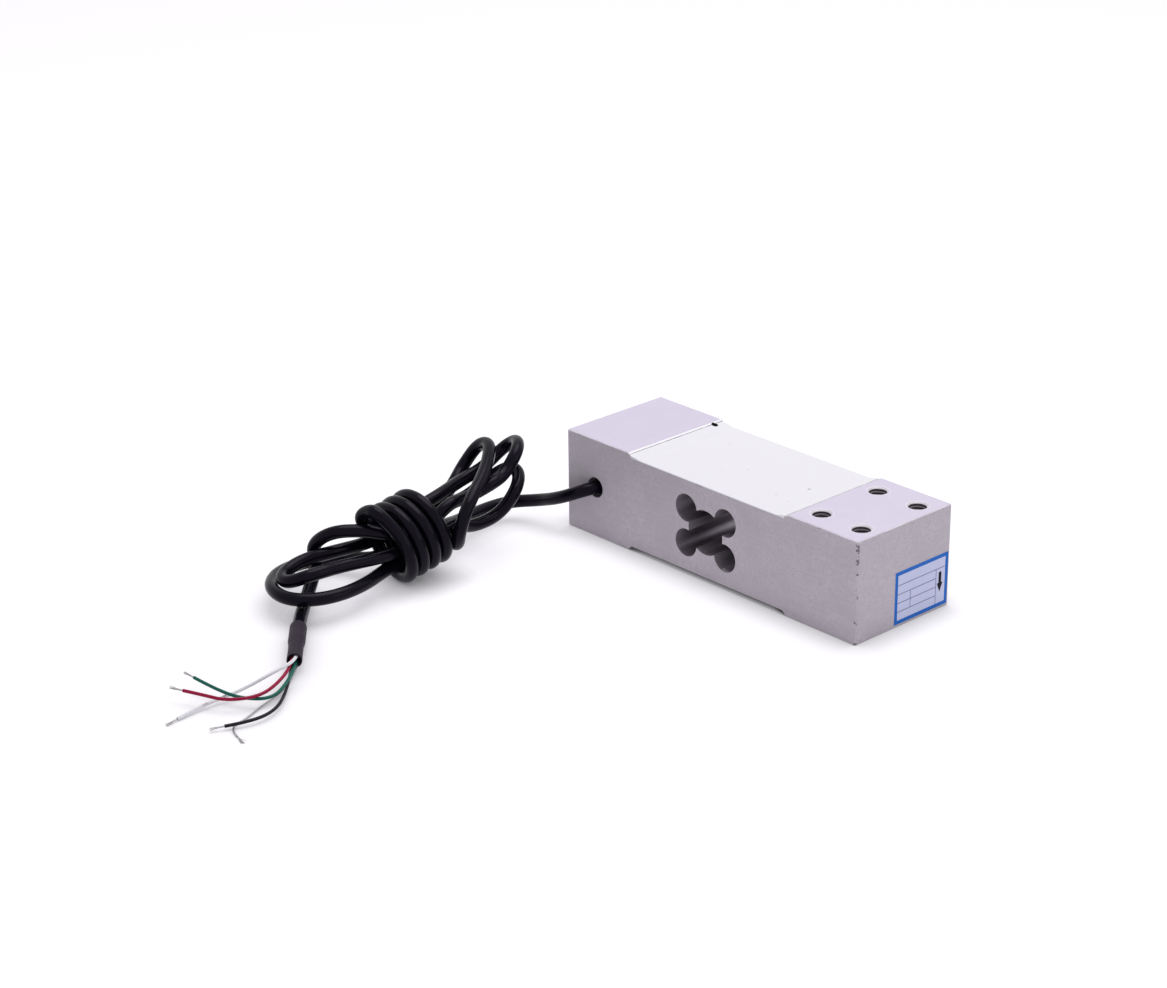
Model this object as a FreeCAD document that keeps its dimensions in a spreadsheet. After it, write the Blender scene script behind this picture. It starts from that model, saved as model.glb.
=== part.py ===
import FreeCAD, Part
import math
import os
import Sketcher

# Single point load cell: an aluminium block with a clover cut-out, strain gauges under
# white silicone on both faces, and a free signal cable tied in a hank.
# Frame: origin at the centre of the block's bottom face, +X from the fixed end to the
# loaded end, the cable leaves the -Y side, +Z up. Millimetres.

Vector = FreeCAD.Vector

# --------------------------------------------------------------------------- sizes
SIZES = [
    ("block_length", 150.0, "whole block along X"),
    ("block_width", 50.0, "whole block along Y"),
    ("block_height", 40.0, "between the two lands"),
    ("edge_break", 0.35, "bevel on the block's outer edges"),
    ("recess_length", 83.0, "between the inner edges of the two lands"),
    ("recess_depth", 1.95, "land to recess floor; its end steps slope at 45 degrees"),
    ("pocket_length", 78.0, "gauge pocket in the recess floor, along X"),
    ("pocket_wall", 2.5, "gauge pocket to each side of the block"),
    ("pocket_depth", 1.45, "recess floor to pocket floor"),
    ("pocket_corner", 1.5, "cutter radius in the pocket's corners"),
    ("lobe_radius", 5.5, "each of the four lobes of the cut-out"),
    ("lobe_pitch_x", 20.2, "lobe centre to lobe centre along X"),
    ("lobe_pitch_z", 14.0, "lobe centre to lobe centre along Z"),
    ("centre_bore_radius", 8.8, "bore that joins the four lobes"),
    ("bolt_inset", 17.0, "block end to the centre of its bolt pattern"),
    ("bolt_pitch_x", 19.0, "bolt pattern along X"),
    ("bolt_pitch_y", 30.0, "bolt pattern along Y"),
    ("thread_core", 6.8, "tapping bore of the M8 threads"),
    ("bolt_depth", 20.0, "full depth of each tapped bore"),
    ("countersink", 8.2, "mouth of each tapped bore"),
    ("cable_hole", 8.2, "bore for the cable in the -Y side"),
    ("cable_inset", 15.5, "fixed end of the block to the cable bore"),
    ("cable_height", 20.3, "block bottom to the cable bore"),
    ("passage_setback", 21.0, "-Y side to the slanted core passage"),
    ("passage_bore", 4.4, "slanted bore from the cable bore to the top pocket"),
    ("passage_mouth", 4.0, "pocket end to the slanted bore's mouth"),
    ("wire_hole", 2.6, "upright bore that joins the two pockets"),
    ("wire_hole_outset", 0.9, "pocket end to the upright bore's axis, outwards"),
    ("wire_hole_side", 5.0, "+Y side of the block to the upright bore"),
    ("skin", 0.3, "silicone over the recess floor"),
    ("seal_rise", 1.35, "height to which the silicone climbs each sloped step"),
    ("seal_run", 4.5, "recess floor's end to where that climb starts"),
    ("vent_hole", 2.4, "open mouth left in the silicone over the upright bore"),
    ("seal_gap", 0.05, "silicone to a machined wall"),
    ("cavity_gap", 0.1, "silicone to the pieces it covers"),
    ("carrier_length", 8.0, "gauge carrier film along X"),
    ("carrier_width", 6.4, "gauge carrier film along Y"),
    ("carrier_thickness", 0.12, "gauge carrier film"),
    ("foil_thickness", 0.05, "gauge foil"),
    ("foil_margin", 0.8, "carrier edge to foil"),
    ("foil_strip", 0.28, "width of one strand of the grid"),
    ("foil_pitch", 0.56, "strand to strand of the grid"),
    ("foil_tab", 1.1, "side of each solder tab"),
    ("gauge_lead", 0.3, "enamelled lead from a gauge to its board"),
    ("lead_lane", 6.0, "block middle to the live gauge's leads on their board, along Y"),
    ("lead_on_board", 0.8, "board's edge to each lead's end"),
    ("lead_rise", 0.06, "board to each lead's end"),
    ("board_length", 8.0, "terminal boards along X"),
    ("board_gap", 1.0, "pocket side to the terminal boards"),
    ("board_thickness", 0.5, "terminal boards"),
    ("board_offset", 8.5, "pocket end to the terminal boards"),
    ("chip_length", 3.2, "balance and span resistors along Y"),
    ("chip_width", 1.6, "balance and span resistors along X"),
    ("chip_height", 0.55, "balance and span resistors"),
    ("chip_place", 11.0, "block middle to each resistor, along Y"),
    ("link_wire", 0.5, "wire through the upright bore"),
    ("link_pitch", 0.62, "link wire to link wire"),
    ("board_wire", 0.7, "wire from the cable's core to the top board"),
    ("board_wire_pitch", 0.75, "board wire to board wire"),
    ("bundle", 3.0, "cable core inside the block"),
    ("grommet_recess", 3.6, "-Y side to the grommet's face"),
    ("grommet_length", 8.0, "grommet along the cable bore"),
    ("grommet_fit", 0.05, "grommet to the cable bore, and to the cable"),
    ("cable", 5.0, "signal cable over its jacket"),
    ("cable_anchor", 7.0, "-Y side to the jacket's end inside the grommet"),
    ("cable_straight", 0.6, "-Y side to the start of the cable's first bend, inside the bore"),
    ("sleeve_length", 28.8, "heat-shrink sleeve"),
    ("sleeve_bore", 5.1, "heat-shrink sleeve inside"),
    ("sleeve_wall", 0.55, "heat-shrink sleeve"),
    ("jacket_in_sleeve", 13.0, "cable jacket's end inside the sleeve"),
    ("wires_in_sleeve", 8.0, "coloured wires' roots inside the sleeve"),
    ("root_gap", 0.3, "stripped core to the coloured wires' roots"),
    ("stripped_core", 3.9, "cable core between its jacket and its wires"),
    ("wire", 1.2, "coloured wire over its insulation"),
    ("drain", 0.6, "bare drain wire"),
    ("conductor", 0.6, "bared strands at a wire's end"),
    ("bared", 5.0, "length of the bared strands"),
    ("label_width", 28.6, "rating label along Y"),
    ("label_height", 20.6, "rating label along Z"),
    ("label_thickness", 0.1, "rating label"),
    ("label_side", 0.85, "+Y side of the block to the label"),
    ("label_foot", 1.1, "block bottom to the label"),
]

doc = FreeCAD.newDocument("SinglePointLoadCell")
sheet = doc.addObject("Spreadsheet::Sheet", "Sizes")
for row, (alias, amount, note) in enumerate(SIZES, start=1):
    sheet.set(f"A{row}", alias)
    sheet.set(f"B{row}", str(amount))
    sheet.set(f"C{row}", note)
    sheet.setAlias(f"B{row}", alias)
doc.recompute()


def size(alias):
    """The number that the sheet holds under that alias."""
    return float(sheet.get(alias))


def sized(text):
    """An expression in which each alias of the sheet is read from the sheet."""
    words = {alias for alias, _, _ in SIZES}
    out, word = "", ""
    for letter in text + " ":
        if letter.isalnum() or letter == "_":
            word += letter
            continue
        out += ("Sizes." + word if word in words else word) + letter
        word = ""
    return out.strip()


def number(text):
    """The value of such an expression, to lay a sketch out near its solved form."""
    probe = doc.addObject("App::FeaturePython", "Probe")
    probe.addProperty("App::PropertyFloat", "Value")
    probe.setExpression("Value", sized(text))
    probe.recompute()
    value = probe.Value
    doc.removeObject(probe.Name)
    return value


def bind(thing, **expressions):
    """Binds properties to the sheet; a double underscore stands for a dot."""
    for name, text in expressions.items():
        thing.setExpression(name.replace("__", "."), sized(text))


# ---------------------------------------------------------- PartDesign helpers
PARTS = []


def keep(thing, label):
    """Lists a finished sub-part; its label names its file."""
    thing.Label = label
    PARTS.append(thing)
    return thing


def new_body(label):
    return keep(doc.addObject("PartDesign::Body", label), label)


def new_sketch(body, name, role, x="0", y="0", z="0"):
    """A sketch on one of the body's origin planes, its own origin shifted by x, y, z."""
    sketch = body.newObject("Sketcher::SketchObject", name)
    plane = next(p for p in body.Origin.OriginFeatures if p.Role == role)
    sketch.AttachmentSupport = [(plane, "")]
    sketch.MapMode = "FlatFace"
    bind(sketch, AttachmentOffset__Base__x=x, AttachmentOffset__Base__y=y, AttachmentOffset__Base__z=z)
    return sketch


def dimension(sketch, kind, *rest, text):
    """A driving constraint whose value is read from the sheet."""
    index = sketch.addConstraint(Sketcher.Constraint(kind, *rest, number(text)))
    sketch.setExpression(f"Constraints[{index}]", sized(text))


def polygon(sketch, corners):
    """Joins the corners by lines and returns the index of the first line."""
    first = sketch.GeometryCount
    ends = list(zip(corners, corners[1:] + corners[:1]))
    for a, b in ends:
        sketch.addGeometry(Part.LineSegment(Vector(*a, 0), Vector(*b, 0)), False)
    for i in range(len(ends)):
        sketch.addConstraint(
            Sketcher.Constraint("Coincident", first + i, 2, first + (i + 1) % len(ends), 1)
        )
    return first


def rectangle(sketch, wide, high):
    """A rectangle centred on the sketch's own origin."""
    w, h = number(wide) / 2, number(high) / 2
    first = polygon(sketch, [(-w, -h), (w, -h), (w, h), (-w, h)])
    for i, kind in enumerate(("Horizontal", "Vertical", "Horizontal", "Vertical")):
        sketch.addConstraint(Sketcher.Constraint(kind, first + i))
    sketch.addConstraint(Sketcher.Constraint("Symmetric", first, 1, first + 1, 2, -1, 1))
    dimension(sketch, "DistanceX", first, 1, first, 2, text=wide)
    dimension(sketch, "DistanceY", first + 1, 1, first + 1, 2, text=high)


def circle(sketch, diameter):
    """A circle on the sketch's own origin."""
    index = sketch.addGeometry(Part.Circle(Vector(), Vector(0, 0, 1), number(diameter) / 2), False)
    sketch.addConstraint(Sketcher.Constraint("Coincident", index, 3, -1, 1))
    dimension(sketch, "Diameter", index, text=diameter)


def four_circles(sketch, pitch_x, pitch_y, diameter):
    """Four like circles at the corners of a rectangle round the sketch's own origin."""
    for side_x in (-1, 1):
        for side_y in (-1, 1):
            centre = Vector(side_x * number(pitch_x) / 2, side_y * number(pitch_y) / 2, 0)
            index = sketch.addGeometry(
                Part.Circle(centre, Vector(0, 0, 1), number(diameter) / 2), False
            )
            for kind, side, pitch in (("DistanceX", side_x, pitch_x), ("DistanceY", side_y, pitch_y)):
                ends = (-1, 1, index, 3) if side > 0 else (index, 3, -1, 1)
                dimension(sketch, kind, *ends, text=f"{pitch} / 2")
            dimension(sketch, "Diameter", index, text=diameter)


def pad(body, sketch, length, reverse=False):
    feature = body.newObject("PartDesign::Pad", sketch.Name.replace("Sketch", "Pad"))
    feature.Profile = sketch
    feature.Reversed = reverse
    bind(feature, Length=length)
    doc.recompute()
    return feature


def pocket(body, sketch, length, reverse=False):
    """Cuts the sketch away along its back, or along its front where reverse is set."""
    before = body.Shape.Volume
    feature = body.newObject("PartDesign::Pocket", sketch.Name.replace("Sketch", "Pocket"))
    feature.Profile = sketch
    feature.Reversed = reverse
    bind(feature, Length=length)
    doc.recompute()
    if body.Shape.Volume >= before:
        raise RuntimeError(f"{feature.Name} cuts nothing")
    return feature


def upright_edges(feature, at_height):
    """Names of the edges along Z whose middle lies at that height."""
    names = []
    for i, edge in enumerate(feature.Shape.Edges, start=1):
        ends = [v.Point for v in edge.Vertexes]
        upright = len(ends) == 2 and (ends[0] - ends[1]).cross(Vector(0, 0, 1)).Length < 1e-6
        if upright and abs((ends[0].z + ends[1].z) / 2 - at_height) < 1e-3:
            names.append(f"Edge{i}")
    return names


def dress(body, kind, base, edges, **expressions):
    feature = body.newObject(f"PartDesign::{kind}", kind + base.Name)
    feature.Base = (base, edges)
    bind(feature, **expressions)
    doc.recompute()
    return feature


# ------------------------------------------------------------- Part helpers
def box(label, length, width, height, x, y, z):
    """A Part::Box centred on x and y, with its foot at z; all six are expressions."""
    piece = doc.addObject("Part::Box", label)
    bind(piece, Length=length, Width=width, Height=height)
    bind(
        piece,
        Placement__Base__x=f"{x} - ({length}) / 2",
        Placement__Base__y=f"{y} - ({width}) / 2",
        Placement__Base__z=z,
    )
    return piece


def feature(label, shape):
    """A sub-part whose shape is worked out here from the sheet's sizes."""
    piece = doc.addObject("Part::Feature", label)
    piece.Shape = shape
    return keep(piece, label)


def unit(v):
    return v / v.Length


def rounded_path(points, bend=None):
    """Straight runs joined by tangent arcs.

    Without a bend radius each arc is as large as its two runs allow. Returns the wire
    and the smallest radius in it.
    """
    points = [Vector(*p) for p in points]
    edges, radii, start = [], [], points[0]
    for before, corner, after in zip(points, points[1:], points[2:]):
        into, out = unit(corner - before), unit(after - corner)
        half = into.getAngle(out) / 2
        tangent = 0.45 * min((corner - before).Length, (after - corner).Length)
        if bend is not None:
            tangent = bend * math.tan(half)
        radius = tangent / math.tan(half)
        radii.append(radius)
        arc_start, arc_end = corner - into * tangent, corner + out * tangent
        middle = corner + unit(out - into) * (radius / math.cos(half) - radius)
        edges.append(Part.LineSegment(start, arc_start).toShape())
        edges.append(Part.Arc(arc_start, middle, arc_end).toShape())
        start = arc_end
    edges.append(Part.LineSegment(start, points[-1]).toShape())
    return Part.Wire(edges), min(radii, default=math.inf)


def tube(points, diameter, bend=None, name=None, sides=None):
    """A solid swept along the rounded path, round or with that many flat sides."""
    path, radius = rounded_path(points, bend)
    first, second = Vector(*points[0]), Vector(*points[1])
    ring = Part.Wire(Part.makeCircle(diameter / 2, first, second - first))
    if sides:
        corners = ring.discretize(sides + 1)
        ring = Part.makePolygon(corners[:-1] + corners[:1])
    section = Part.Face(ring)
    solid = path.makePipe(section)
    expected = section.Area * path.Length
    if abs(solid.Volume / expected - 1) > 0.01:
        raise RuntimeError(f"tube {name} has a volume of {solid.Volume}, not {expected}")
    if name:
        print(f"{name}: {path.Length:.1f} mm long, smallest radius {radius:.1f} mm")
    return solid


# ------------------------------------------------------------------- block
HALF_RECESS_FLOOR = "(recess_length / 2 - recess_depth)"
RECESS_FLOOR = "(block_height - recess_depth)"
POCKET_FLOOR = "(block_height - recess_depth - pocket_depth)"
POCKET_END = "(-pocket_length / 2)"
POCKET_WIDTH = "(block_width - 2 * pocket_wall)"
PASSAGE_TOP_X = f"({POCKET_END} + passage_mouth)"
LOAD_HOLES_X = "(block_length / 2 - bolt_inset)"
CABLE_X = "(cable_inset - block_length / 2)"
WIRE_HOLE_X = f"({POCKET_END} - wire_hole_outset)"
WIRE_HOLE_Y = "(block_width / 2 - wire_hole_side)"
BOARD_WIDTH = f"({POCKET_WIDTH} - 2 * board_gap)"
BOARD_X = "(board_offset + board_length / 2 - pocket_length / 2)"


def recess_outline(sketch, side):
    """The recess in side view: a trapezium whose ends slope at 45 degrees."""
    top, floor = number("recess_length / 2"), number(HALF_RECESS_FLOOR)
    deep = number("recess_depth")
    first = polygon(
        sketch, [(-top, 0), (top, 0), (floor, -side * deep), (-floor, -side * deep)]
    )
    sketch.addConstraint(Sketcher.Constraint("Horizontal", first))
    sketch.addConstraint(Sketcher.Constraint("Symmetric", first, 1, first, 2, -1, 1))
    sketch.addConstraint(Sketcher.Constraint("Symmetric", first + 2, 1, first + 2, 2, -2))
    dimension(sketch, "DistanceX", first, 1, first, 2, text="recess_length")
    dimension(sketch, "DistanceX", first + 2, 2, first + 2, 1, text=f"2 * {HALF_RECESS_FLOOR}")
    ends = (first + 2, 1, -1, 1) if side > 0 else (-1, 1, first + 2, 1)
    dimension(sketch, "DistanceY", *ends, text="recess_depth")


def tapped_bores(body, name, x, z, reverse):
    """Four M8 bores with a drill point and a countersunk mouth."""
    before = body.Shape.Volume
    sketch = new_sketch(body, f"{name}Sketch", "XY_Plane", x=x, z=z)
    four_circles(sketch, "bolt_pitch_x", "bolt_pitch_y", "thread_core")
    doc.recompute()
    hole = body.newObject("PartDesign::Hole", name)
    hole.Profile = sketch
    hole.ThreadType = "None"
    hole.DepthType = "Dimension"
    hole.DrillPoint = "Angled"
    hole.HoleCutType = "Countersink"
    hole.HoleCutCountersinkAngle = 90
    hole.Reversed = reverse
    bind(hole, Diameter="thread_core", Depth="bolt_depth", HoleCutDiameter="countersink")
    doc.recompute()
    if body.Shape.Volume >= before:
        raise RuntimeError(f"{name} cuts nothing")


def slanted_passage(body):
    """A bore turned about its own slanted axis, from the cable bore to the top pocket."""
    before = body.Shape.Volume
    sketch = new_sketch(body, "PassageSketch", "XZ_Plane", z="block_width / 2 - passage_setback")
    low = Vector(number(CABLE_X), number("cable_height"), 0)
    high = Vector(number(PASSAGE_TOP_X), number(POCKET_FLOOR), 0)
    along = unit(high - low)
    across = Vector(-along.y, along.x, 0) * size("passage_bore") / 2
    past = along * (high - low).Length * 0.2
    corners = [low, high + past, high + past + across, low + across]
    first = polygon(sketch, [(c.x, c.y) for c in corners])
    axis = sketch.addGeometry(Part.LineSegment(low, high), True)
    sketch.addConstraint(Sketcher.Constraint("Coincident", axis, 1, first, 1))
    sketch.addConstraint(Sketcher.Constraint("PointOnObject", axis, 2, first))
    for line, other in ((first + 1, first), (first + 3, first)):
        sketch.addConstraint(Sketcher.Constraint("Perpendicular", line, other))
    sketch.addConstraint(Sketcher.Constraint("Parallel", first + 2, first))
    dimension(sketch, "DistanceX", axis, 1, -1, 1, text=f"-{CABLE_X}")
    dimension(sketch, "DistanceY", -1, 1, axis, 1, text="cable_height")
    dimension(sketch, "DistanceX", axis, 2, -1, 1, text=f"-{PASSAGE_TOP_X}")
    dimension(sketch, "DistanceY", -1, 1, axis, 2, text=POCKET_FLOOR)
    dimension(sketch, "Distance", first + 3, text="passage_bore / 2")
    dimension(sketch, "Distance", axis, 2, first, 2, text="passage_bore")
    groove = body.newObject("PartDesign::Groove", "Passage")
    groove.Profile = sketch
    groove.ReferenceAxis = (sketch, ["Axis0"])
    groove.Angle = 360
    doc.recompute()
    if body.Shape.Volume >= before:
        raise RuntimeError("the slanted passage cuts nothing")


def make_block():
    body = new_body("load_cell_body")
    outline = new_sketch(body, "BlockSketch", "XY_Plane")
    rectangle(outline, "block_length", "block_width")
    block = pad(body, outline, "block_height")
    edges = [f"Edge{i}" for i in range(1, 13)]
    dress(body, "Chamfer", block, edges, Size="edge_break")

    for name, side, z in (("TopRecess", 1, "block_height"), ("BottomRecess", -1, "0")):
        sketch = new_sketch(body, f"{name}Sketch", "XZ_Plane", y=z, z="block_width / 2")
        recess_outline(sketch, side)
        pocket(body, sketch, "block_width")
    for name, z, reverse in (
        ("TopPocket", "block_height", False),
        ("BottomPocket", "0", True),
    ):
        sketch = new_sketch(body, f"{name}Sketch", "XY_Plane", z=z)
        rectangle(sketch, "pocket_length", POCKET_WIDTH)
        cut = pocket(body, sketch, "recess_depth + pocket_depth", reverse)
        middle = number("recess_depth + pocket_depth / 2")
        height = size("block_height") - middle if not reverse else middle
        corners = upright_edges(cut, height)
        dress(body, "Fillet", cut, corners, Radius="pocket_corner")

    lobes = new_sketch(body, "LobesSketch", "XZ_Plane", y="block_height / 2", z="block_width / 2")
    four_circles(lobes, "lobe_pitch_x", "lobe_pitch_z", "2 * lobe_radius")
    pocket(body, lobes, "block_width")
    centre = new_sketch(body, "CentreSketch", "XZ_Plane", y="block_height / 2", z="block_width / 2")
    circle(centre, "2 * centre_bore_radius")
    pocket(body, centre, "block_width")

    tapped_bores(body, "LoadBores", LOAD_HOLES_X, "block_height", False)
    tapped_bores(body, "FixingBores", f"-{LOAD_HOLES_X}", "0", True)

    cable = new_sketch(body, "CableSketch", "XZ_Plane", x=CABLE_X, y="cable_height", z="block_width / 2")
    circle(cable, "cable_hole")
    pocket(body, cable, "passage_setback + passage_bore / 2")
    slanted_passage(body)
    link = new_sketch(body, "LinkSketch", "XY_Plane", x=WIRE_HOLE_X, y=WIRE_HOLE_Y, z="block_height")
    circle(link, "wire_hole")
    pocket(body, link, "block_height")
    return body


# ---------------------------------------------------------------- silicone
COVERED = "(board_thickness + gauge_lead + 2 * cavity_gap)"
BOARD_COVER = "(board_thickness + board_wire + cavity_gap)"
LANE_COVER = "(lead_lane + gauge_lead / 2 + cavity_gap)"
BOARD_END = "(board_offset + board_length - pocket_length / 2)"
GAUGES_END = "(lobe_pitch_x / 2 + carrier_length / 2 + cavity_gap)"


def mirrored(z, top):
    """A height above the block's bottom, or the same distance below its top."""
    return z if top else f"(block_height - {z})"


def climb(body, name, rim, end, up):
    """Silicone drawn up one sloped step of the recess."""
    sketch = new_sketch(
        body, f"{name}Sketch", "XZ_Plane", y=rim, z="seal_gap - block_width / 2"
    )
    foot = number(f"{HALF_RECESS_FLOOR} - seal_gap")
    rise, start = size("seal_rise"), number(f"{HALF_RECESS_FLOOR} - seal_run")
    corners = [(end * start, 0), (end * foot, 0), (end * (foot + rise), up * rise)]
    corners.append((end * start, up * size("skin")))
    first = polygon(sketch, corners)
    sketch.addConstraint(Sketcher.Constraint("Horizontal", first))
    sketch.addConstraint(Sketcher.Constraint("Vertical", first + 3))
    for point, text in (
        ((first, 1), f"{HALF_RECESS_FLOOR} - seal_run"),
        ((first, 2), f"{HALF_RECESS_FLOOR} - seal_gap"),
        ((first + 1, 2), f"{HALF_RECESS_FLOOR} - seal_gap + seal_rise"),
    ):
        ends = (-1, 1, *point) if end > 0 else (*point, -1, 1)
        dimension(sketch, "DistanceX", *ends, text=text)
    sketch.addConstraint(Sketcher.Constraint("PointOnObject", first, 1, -1))
    for point, text in (((first + 1, 2), "seal_rise"), ((first + 2, 2), "skin")):
        ends = (-1, 1, *point) if up > 0 else (*point, -1, 1)
        dimension(sketch, "DistanceY", *ends, text=text)
    return pad(body, sketch, "block_width - 2 * seal_gap")


def make_sealant(label, top):
    """Silicone that fills a gauge pocket and skins the recess round it."""
    body = new_body(label)
    floor, rim = mirrored(POCKET_FLOOR, top), mirrored(RECESS_FLOOR, top)
    plug = new_sketch(body, f"{label}PlugSketch", "XY_Plane", z=floor)
    rectangle(plug, "pocket_length - 2 * seal_gap", f"{POCKET_WIDTH} - 2 * seal_gap")
    filling = pad(body, plug, "pocket_depth", reverse=not top)
    height = number(f"({floor} + {rim}) / 2")
    dress(body, "Fillet", filling, upright_edges(filling, height), Radius="pocket_corner")
    skin = new_sketch(body, f"{label}SkinSketch", "XY_Plane", z=rim)
    rectangle(skin, f"2 * {HALF_RECESS_FLOOR} - 2 * seal_gap", "block_width - 2 * seal_gap")
    pad(body, skin, "skin", reverse=not top)
    for end in (-1, 1):
        climb(body, f"{label}Climb{'Live' if end > 0 else 'Fixed'}", rim, end, 1 if top else -1)

    gauges = new_sketch(
        body, f"{label}GaugesSketch", "XY_Plane", x=f"({BOARD_END} + {GAUGES_END}) / 2", z=floor
    )
    rectangle(gauges, f"{GAUGES_END} - {BOARD_END}", f"2 * {LANE_COVER}")
    pocket(body, gauges, COVERED, reverse=top)
    board = new_sketch(
        body,
        f"{label}BoardSketch",
        "XY_Plane",
        x=f"({POCKET_END} + {BOARD_END} + cavity_gap) / 2",
        z=floor,
    )
    rectangle(
        board,
        "board_offset + board_length + cavity_gap",
        f"{BOARD_WIDTH} + 2 * cavity_gap",
    )
    pocket(body, board, BOARD_COVER, reverse=top)
    vent = new_sketch(body, f"{label}VentSketch", "XY_Plane", x=WIRE_HOLE_X, y=WIRE_HOLE_Y, z=floor)
    circle(vent, "vent_hole")
    pocket(body, vent, "pocket_depth + seal_rise", reverse=top)


# ---------------------------------------------------- gauges and their boards
def foil_grid(x, z):
    """A foil of parallel strands joined in turn at their ends, with two solder tabs."""
    thick, strip, pitch = size("foil_thickness"), size("foil_strip"), size("foil_pitch")
    tab, margin = size("foil_tab"), size("foil_margin")
    half = size("carrier_length") / 2 - margin
    strands = 2 * int((size("carrier_width") - 2 * margin) / pitch / 2)
    start = x - half + tab
    rows = [(i - (strands - 1) / 2) * pitch for i in range(strands)]
    pieces = [
        Part.makeBox(x + half - start, strip, thick, Vector(start, y - strip / 2, z)) for y in rows
    ]
    for i, y in enumerate(rows[:-1]):
        end = x + half - strip if i % 2 == 0 else start
        pieces.append(Part.makeBox(strip, pitch + strip, thick, Vector(end, y - strip / 2, z)))
    for y in (rows[0], rows[-1]):
        pieces.append(Part.makeBox(tab, tab, thick, Vector(x - half, y - tab / 2, z)))
    return pieces[0].multiFuse(pieces[1:]).removeSplitter(), rows[-1]


def make_gauges(side, top):
    """The two gauges of one face, over the two lobes, and the leads from their tabs."""
    floor = number(POCKET_FLOOR)
    thick, foil = size("carrier_thickness"), size("foil_thickness")
    leads = []
    for end, sign in (("fixed", -1), ("live", 1)):
        x = f"({sign} * lobe_pitch_x / 2)"
        foot = POCKET_FLOOR if top else f"(block_height - {POCKET_FLOOR} - carrier_thickness)"
        label = f"gauge_carrier_{side}_{end}"
        keep(box(label, "carrier_length", "carrier_width", "carrier_thickness", x, "0", foot), label)
        grid, tab_y = foil_grid(number(x), floor + thick)
        if not top:
            grid = flipped(grid)
        feature(f"gauge_foil_{side}_{end}", grid)
        tab_x = number(x) - size("carrier_length") / 2 + size("foil_margin") + size("foil_tab") / 2
        low = floor + thick + foil + size("gauge_lead") / 2
        high = floor + size("board_thickness") + size("gauge_lead") / 2 + size("lead_rise")
        board_x = number(BOARD_END) - size("lead_on_board")
        for y_sign in (-1, 1):
            lane = tab_y if end == "fixed" else size("lead_lane")
            tab = Vector(tab_x, y_sign * tab_y, low)
            along = Vector(board_x, y_sign * lane, high) - tab
            leads.append(Part.makeCylinder(size("gauge_lead") / 2, along.Length, tab, along))
    if not top:
        leads = [flipped(lead) for lead in leads]
    feature(f"gauge_leads_{side}", Part.makeCompound(leads))


def flipped(shape):
    """The shape as it lies on the block's other face."""
    middle = Vector(0, 0, size("block_height") / 2)
    return shape.mirror(middle, Vector(0, 0, 1))


def make_boards():
    for label, top in (("bridge_board", True), ("terminal_board", False)):
        foot = POCKET_FLOOR if top else f"(block_height - {POCKET_FLOOR} - board_thickness)"
        keep(box(label, "board_length", BOARD_WIDTH, "board_thickness", BOARD_X, "0", foot), label)
    for label, sign in (("balance_resistor", 1), ("span_resistor", -1)):
        foot = f"{POCKET_FLOOR} + board_thickness"
        place = f"({sign} * chip_place)"
        keep(box(label, "chip_width", "chip_length", "chip_height", BOARD_X, place, foot), label)


WIRE_SIDES = 8


def make_inner_wires():
    """Link wires between the faces, the cable's core in its passage, and its board wires."""
    board_end, hole_x = number(BOARD_X), number(WIRE_HOLE_X)
    above = number(POCKET_FLOOR) + size("board_thickness")
    top = above + size("link_wire") / 2
    bottom = size("block_height") - top
    links = []
    for i in (-1, 0, 1):
        y = number(WIRE_HOLE_Y) + i * size("link_pitch")
        points = [(board_end, y, top), (hole_x, y, top), (hole_x, y, bottom), (board_end, y, bottom)]
        links.append(tube(points, size("link_wire"), bend=1.4 * size("link_wire"), sides=WIRE_SIDES))
    feature("link_wires", Part.makeCompound(links))

    x, z = number(CABLE_X), size("cable_height")
    side = -size("block_width") / 2
    setback = side + size("passage_setback")
    low = Vector(x, setback, z)
    mouth = Vector(number(PASSAGE_TOP_X), setback, number(POCKET_FLOOR))
    split = low + (mouth - low) * 0.8
    points = [(x, side + size("cable_anchor"), z), tuple(low), tuple(split)]
    feature("cable_core", tube(points, size("bundle"), bend=0.7 * size("bundle")))
    height = above + size("board_wire") / 2
    along = mouth - low
    turn = low + along * ((height - low.z) / along.z)
    wires = []
    for i in (-1.5, -0.5, 0.5, 1.5):
        y = Vector(0, i * size("board_wire_pitch"), 0)
        points = [tuple(split + y), tuple(turn + y), (board_end, setback + y.y, height)]
        wires.append(tube(points, size("board_wire"), bend=2 * size("board_wire"), sides=WIRE_SIDES))
    feature("board_wires", Part.makeCompound(wires))


# --------------------------------------------------------------------- cable
# Routes of the free cable and wires, point by point as they lie. The hank lies between.
CABLE_LEAD = [
    (-62.8, -30.2, 19.0),
    (-71.5, -33.2, 14.6),
    (-84.0, -32.0, 9.6),
    (-95.5, -37.0, 7.0),
]
CABLE_TAIL = [
    (-90.5, -138.5, 7.0),
    (-82.5, -148.0, 4.2),
    (-69.9, -160.6, 4.0),
    (-56.6, -171.8, 4.7),
]
RED_WIRE = [
    (-51.2, -177.5, 5.8),
    (-43.0, -184.0, 5.6),
    (-36.0, -194.5, 4.9),
    (-31.5, -206.5, 4.8),
    (-37.5, -216.5, 4.6),
    (-46.0, -219.5, 4.6),
    (-53.0, -223.0, 5.0),
]
GREEN_WIRE = [
    (-50.4, -176.5, 4.4),
    (-43.0, -182.5, 4.6),
    (-35.0, -192.5, 3.8),
    (-29.5, -203.0, 3.4),
    (-37.0, -210.5, 3.4),
    (-48.0, -213.5, 4.2),
    (-58.5, -214.5, 5.0),
]
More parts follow.
